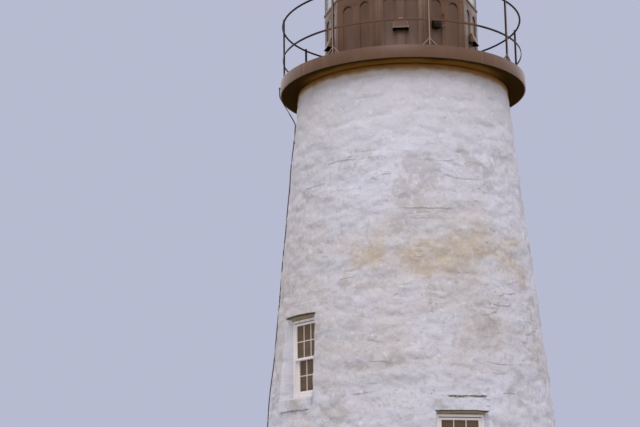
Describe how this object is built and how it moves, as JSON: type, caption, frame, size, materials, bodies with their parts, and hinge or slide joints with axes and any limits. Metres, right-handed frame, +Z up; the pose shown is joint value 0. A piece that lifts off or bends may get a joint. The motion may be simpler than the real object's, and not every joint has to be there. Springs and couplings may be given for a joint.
{
  "type": "round stone lighthouse",
  "caption": "Tapered round rubble-stone lighthouse with a railed iron gallery, a many-sided glazed lantern, deep sash windows and a hollow interior.",
  "frame": {"origin": "centre of the tower's foot, at ground level", "axes": "+Z up along the tower's axis; -Y towards the side seen in the picture"},
  "size_m": [4.647, 4.6298, 11.7594],
  "materials": {
    "whitewash": "lumpy lime-washed rubble",
    "ochre_band": "stained mortar bed",
    "floor_stone": "worn flagstone",
    "dressed_stone": "whitewashed dressed stone, mossy below",
    "window_paint": "weathered cream paint",
    "door_paint": "weathered brown paint",
    "window_glass": "old window glass, dim room behind",
    "deck_paint": "dark brown paint",
    "iron_paint": "brown paint, chalky in the sun",
    "rail_paint": "dark brown paint",
    "lantern_glass": "clear plate glass",
    "roof_paint": "brown paint",
    "rod_metal": "tarnished",
    "cable_cover": "dark weathered sheath"
  },
  "bodies": {
    "root": {"wall_front": "whitewash", "wall_front_window": "whitewash", "wall_right_front": "whitewash", "wall_right_rear": "whitewash", "wall_door": "whitewash", "wall_back_right": "whitewash", "wall_back_left": "whitewash", "wall_rear_window": "whitewash", "wall_left": "whitewash", "wall_left_window": "whitewash", "wall_band": "ochre_band", "ground_floor": "floor_stone", "window_lintels": "dressed_stone", "window_sills": "dressed_stone", "door_lintel": "dressed_stone", "door_threshold": "dressed_stone", "window_frames": "window_paint", "upper_sashes": "window_paint", "lower_sashes": "window_paint", "window_glass": "window_glass", "door_frame": "window_paint", "door_leaf": "door_paint", "gallery_deck": "deck_paint", "gallery_fascia": "iron_paint", "rail_posts": "rail_paint", "top_rail": "rail_paint", "mid_rail": "rail_paint", "lantern_floor": "iron_paint", "parapet_panels": "iron_paint", "gallery_door": "iron_paint", "corner_posts": "iron_paint", "vent_hoods": "iron_paint", "parapet_box": "iron_paint", "glazing_sill": "iron_paint", "glazing_bars": "rail_paint", "glazing_panes": "lantern_glass", "glazing_head": "iron_paint", "roof": "roof_paint", "roof_ribs": "roof_paint", "vent_collar": "roof_paint", "vent_ball": "roof_paint", "lightning_rod": "rod_metal", "earth_cable": "cable_cover", "cable_clips": "rail_paint"}
  },
  "joints": []
}
